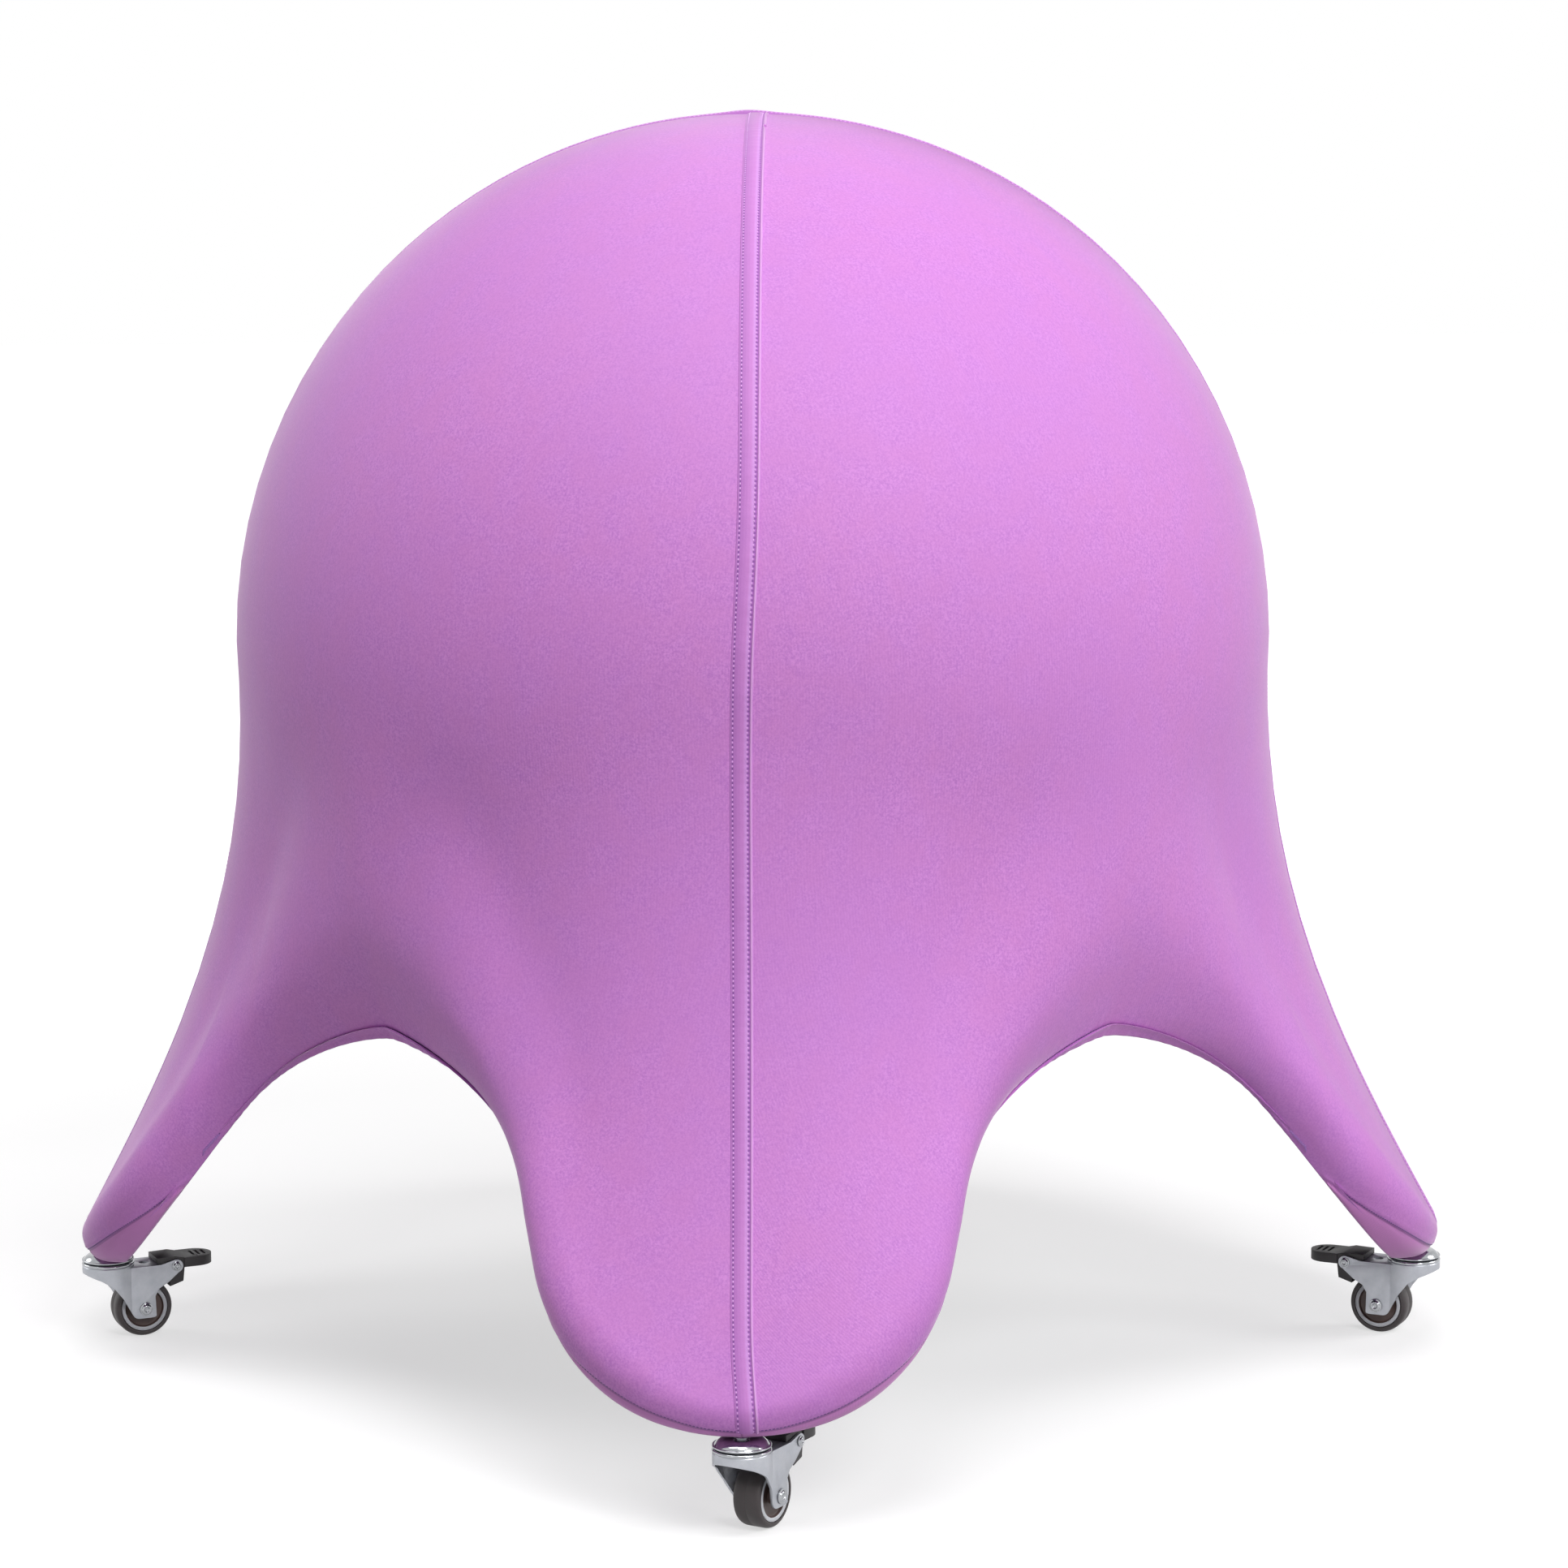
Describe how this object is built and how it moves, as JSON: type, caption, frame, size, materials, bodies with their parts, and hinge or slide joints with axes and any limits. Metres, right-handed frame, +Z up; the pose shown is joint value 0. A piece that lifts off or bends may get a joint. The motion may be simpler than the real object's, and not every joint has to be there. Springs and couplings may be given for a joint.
{
  "type": "balance ball chair",
  "caption": "Exercise ball on a hidden steel frame of hoop-shaped legs, under a stretched fabric cover, on braked swivel casters.",
  "frame": {"origin": "on the floor, under the centre of the ball", "axes": "+Z up, -Y towards the front leg, +X towards the right leg"},
  "size_m": [0.7456, 0.7454, 0.6661],
  "materials": {
    "cover_fabric": "matte stretch knit with a soft sheen",
    "ball_vinyl": "satin vinyl",
    "frame_steel": "black powder coat",
    "caster_chrome": "polished chrome plate",
    "fork_zinc": "satin zinc plate",
    "tyre_rubber": "matte rubber",
    "hub_plastic": "satin plastic",
    "brake_plastic": "satin black plastic"
  },
  "bodies": {
    "frame": {"ball": "ball_vinyl", "ball_plug": "brake_plastic", "seat_ring": "frame_steel", "cover_panel_back_right": "cover_fabric", "cover_panel_back_left": "cover_fabric", "cover_panel_front_left": "cover_fabric", "cover_panel_front_right": "cover_fabric", "leg_hoop_right": "frame_steel", "caster_stem_right": "caster_chrome", "leg_hoop_back": "frame_steel", "caster_stem_back": "caster_chrome", "leg_hoop_left": "frame_steel", "caster_stem_left": "caster_chrome", "leg_hoop_front": "frame_steel", "caster_stem_front": "caster_chrome"},
    "swivel_right": {"caster_fork_right": "fork_zinc", "caster_axle_right": "caster_chrome", "brake_pin_right": "caster_chrome"},
    "wheel_right": {"caster_tyre_right": "tyre_rubber", "caster_hub_right": "hub_plastic"},
    "pedal_right": {"brake_pedal_right": "brake_plastic"},
    "swivel_back": {"caster_fork_back": "fork_zinc", "caster_axle_back": "caster_chrome", "brake_pin_back": "caster_chrome"},
    "wheel_back": {"caster_tyre_back": "tyre_rubber", "caster_hub_back": "hub_plastic"},
    "pedal_back": {"brake_pedal_back": "brake_plastic"},
    "swivel_left": {"caster_fork_left": "fork_zinc", "caster_axle_left": "caster_chrome", "brake_pin_left": "caster_chrome"},
    "wheel_left": {"caster_tyre_left": "tyre_rubber", "caster_hub_left": "hub_plastic"},
    "pedal_left": {"brake_pedal_left": "brake_plastic"},
    "swivel_front": {"caster_fork_front": "fork_zinc", "caster_axle_front": "caster_chrome", "brake_pin_front": "caster_chrome"},
    "wheel_front": {"caster_tyre_front": "tyre_rubber", "caster_hub_front": "hub_plastic"},
    "pedal_front": {"brake_pedal_front": "brake_plastic"}
  },
  "joints": [
    {"name": "swivel_right", "type": "hinge", "parent": "frame", "child": "swivel_right", "pos_m": [0.3585, 0, 0.0435], "axis": [0, 0, 1], "continuous": true},
    {"name": "roll_right", "type": "hinge", "parent": "swivel_right", "child": "wheel_right", "pos_m": [0.34219, 0.00761, 0.016], "axis": [-0.4226, -0.9063, 0], "continuous": true},
    {"name": "brake_right", "type": "hinge", "parent": "swivel_right", "child": "pedal_right", "pos_m": [0.32596, 0.01517, 0.0384], "axis": [-0.4226, -0.9063, 0], "range_deg": [0, 25]},
    {"name": "swivel_back", "type": "hinge", "parent": "frame", "child": "swivel_back", "pos_m": [0, 0.3585, 0.0435], "axis": [0, 0, 1], "continuous": true},
    {"name": "roll_back", "type": "hinge", "parent": "swivel_back", "child": "wheel_back", "pos_m": [-0.009, 0.34291, 0.016], "axis": [0.866, -0.5, 0], "continuous": true},
    {"name": "brake_back", "type": "hinge", "parent": "swivel_back", "child": "pedal_back", "pos_m": [-0.01795, 0.32741, 0.0384], "axis": [0.866, -0.5, 0], "range_deg": [0, 25]},
    {"name": "swivel_left", "type": "hinge", "parent": "frame", "child": "swivel_left", "pos_m": [-0.3585, 0, 0.0435], "axis": [0, 0, 1], "continuous": true},
    {"name": "roll_left", "type": "hinge", "parent": "swivel_left", "child": "wheel_left", "pos_m": [-0.34219, 0.00761, 0.016], "axis": [-0.4226, 0.9063, 0], "continuous": true},
    {"name": "brake_left", "type": "hinge", "parent": "swivel_left", "child": "pedal_left", "pos_m": [-0.32596, 0.01517, 0.0384], "axis": [-0.4226, 0.9063, 0], "range_deg": [0, 25]},
    {"name": "swivel_front", "type": "hinge", "parent": "frame", "child": "swivel_front", "pos_m": [0, -0.3585, 0.0435], "axis": [0, 0, 1], "continuous": true},
    {"name": "roll_front", "type": "hinge", "parent": "swivel_front", "child": "wheel_front", "pos_m": [0.009, -0.34291, 0.016], "axis": [-0.866, 0.5, 0], "continuous": true},
    {"name": "brake_front", "type": "hinge", "parent": "swivel_front", "child": "pedal_front", "pos_m": [0.01795, -0.32741, 0.0384], "axis": [-0.866, 0.5, 0], "range_deg": [0, 25]}
  ]
}
